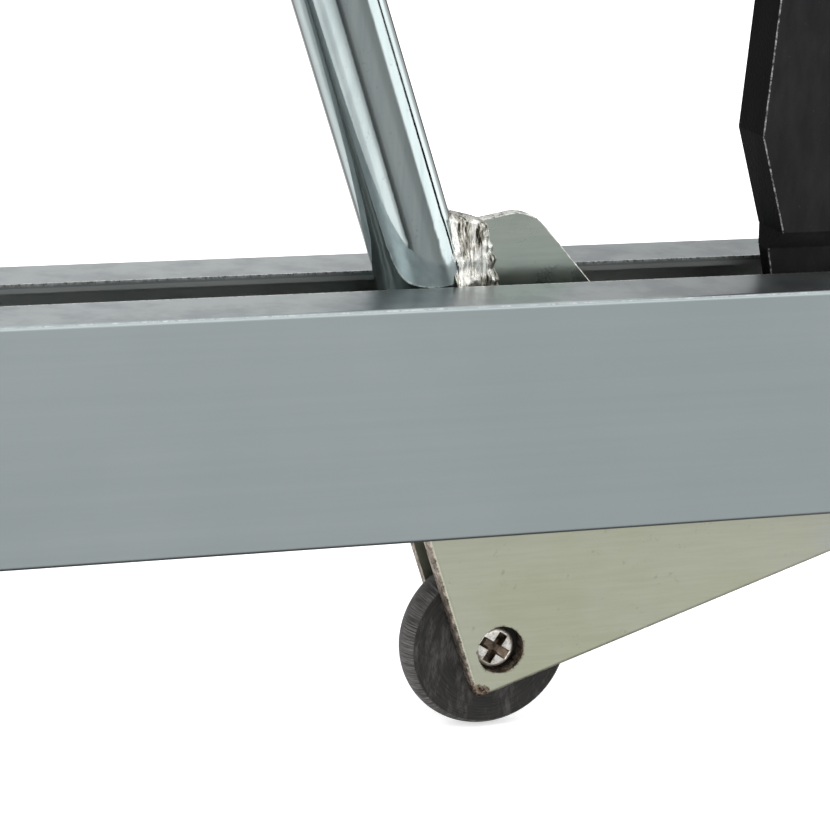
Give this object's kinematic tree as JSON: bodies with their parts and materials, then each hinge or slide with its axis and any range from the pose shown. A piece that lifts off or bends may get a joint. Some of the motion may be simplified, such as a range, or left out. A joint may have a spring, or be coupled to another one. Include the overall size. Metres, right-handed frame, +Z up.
{
  "type": "folding sawhorse",
  "caption": "Folding steel sawhorse: slotted beam with a ribbed top pad on A-shaped end frames that fold flat under it, with a roller and brake on one side.",
  "frame": {"origin": "on the floor, under the middle of the beam", "axes": "+X along the end frames' rails towards the rollers, +Y along the beam from the front frame to the rear one, +Z up"},
  "size_m": [0.846, 0.946, 0.7438],
  "materials": {
    "zinc_profile": "satin",
    "zinc_tube": "gloss",
    "passivated_plate": "satin",
    "bright_fastener": "gloss",
    "black_plastic": "matte",
    "roller_black": "satin",
    "black_rubber": "matte"
  },
  "bodies": {
    "beam_body": {"beam": "zinc_profile", "beam_pad": "black_rubber", "beam_caps": "black_plastic", "hinge_bracket_front": "passivated_plate", "hinge_bracket_rear": "passivated_plate", "pivot_bolts": "bright_fastener", "pivot_nuts": "bright_fastener", "bracket_bolts": "bright_fastener"},
    "end_frame_front": {"rail_front": "zinc_profile", "rail_caps_front": "black_plastic", "leg_tube_roller_side_front": "zinc_tube", "leg_tube_foot_side_front": "zinc_tube", "gusset_roller_side_front": "passivated_plate", "gusset_foot_side_front": "passivated_plate", "crossbar_front": "zinc_tube", "roller_shoe_outer_front": "passivated_plate", "roller_shoe_inner_front": "passivated_plate", "foot_shoe_front": "passivated_plate", "axle_sleeves_front": "bright_fastener", "shoe_screws_front": "bright_fastener", "shoe_nuts_front": "bright_fastener", "brake_pin_front": "bright_fastener", "rubber_foot_front": "black_rubber", "pivot_barrel_front": "zinc_tube", "pivot_bushes_front": "black_plastic", "lock_plate_front": "passivated_plate", "clamp_stud_front": "bright_fastener", "friction_washer_front": "bright_fastener"},
    "roller_front_body": {"roller_front": "roller_black"},
    "brake_front_body": {"brake_lever_front": "black_plastic"},
    "knob_front_body": {"clamp_knob_front": "black_plastic"},
    "end_frame_rear": {"rail_rear": "zinc_profile", "rail_caps_rear": "black_plastic", "leg_tube_roller_side_rear": "zinc_tube", "leg_tube_foot_side_rear": "zinc_tube", "gusset_roller_side_rear": "passivated_plate", "gusset_foot_side_rear": "passivated_plate", "crossbar_rear": "zinc_tube", "roller_shoe_outer_rear": "passivated_plate", "roller_shoe_inner_rear": "passivated_plate", "foot_shoe_rear": "passivated_plate", "axle_sleeves_rear": "bright_fastener", "shoe_screws_rear": "bright_fastener", "shoe_nuts_rear": "bright_fastener", "brake_pin_rear": "bright_fastener", "rubber_foot_rear": "black_rubber", "pivot_barrel_rear": "zinc_tube", "pivot_bushes_rear": "black_plastic", "lock_plate_rear": "passivated_plate", "clamp_stud_rear": "bright_fastener", "friction_washer_rear": "bright_fastener"},
    "roller_rear_body": {"roller_rear": "roller_black"},
    "brake_rear_body": {"brake_lever_rear": "black_plastic"},
    "knob_rear_body": {"clamp_knob_rear": "black_plastic"}
  },
  "joints": [
    {"name": "fold_front", "type": "hinge", "parent": "beam_body", "child": "end_frame_front", "pos_m": [0, -0.41, 0.655], "axis": [1, 0, 0], "range_deg": [0, 90]},
    {"name": "fold_rear", "type": "hinge", "parent": "beam_body", "child": "end_frame_rear", "pos_m": [0, 0.41, 0.601], "axis": [-1, 0, 0], "range_deg": [0, 90]},
    {"name": "roller_front_spin", "type": "hinge", "parent": "end_frame_front", "child": "roller_front_body", "pos_m": [0.27125, -0.41, 0.01955], "axis": [0, 1, 0], "continuous": true},
    {"name": "brake_front_swing", "type": "hinge", "parent": "end_frame_front", "child": "brake_front_body", "pos_m": [0.3094, -0.41, 0.06015], "axis": [0, 1, 0], "range_deg": [0, 30]},
    {"name": "knob_front_turn", "type": "hinge", "parent": "end_frame_front", "child": "knob_front_body", "pos_m": [0.121, -0.41, 0.619], "axis": [1, 0, 0], "range_deg": [0, 270]},
    {"name": "roller_rear_spin", "type": "hinge", "parent": "end_frame_rear", "child": "roller_rear_body", "pos_m": [0.27125, 0.41, 0.01955], "axis": [0, 1, 0], "continuous": true},
    {"name": "brake_rear_swing", "type": "hinge", "parent": "end_frame_rear", "child": "brake_rear_body", "pos_m": [0.3094, 0.41, 0.06015], "axis": [0, 1, 0], "range_deg": [0, 30]},
    {"name": "knob_rear_turn", "type": "hinge", "parent": "end_frame_rear", "child": "knob_rear_body", "pos_m": [0.121, 0.41, 0.565], "axis": [1, 0, 0], "range_deg": [0, 270]}
  ]
}
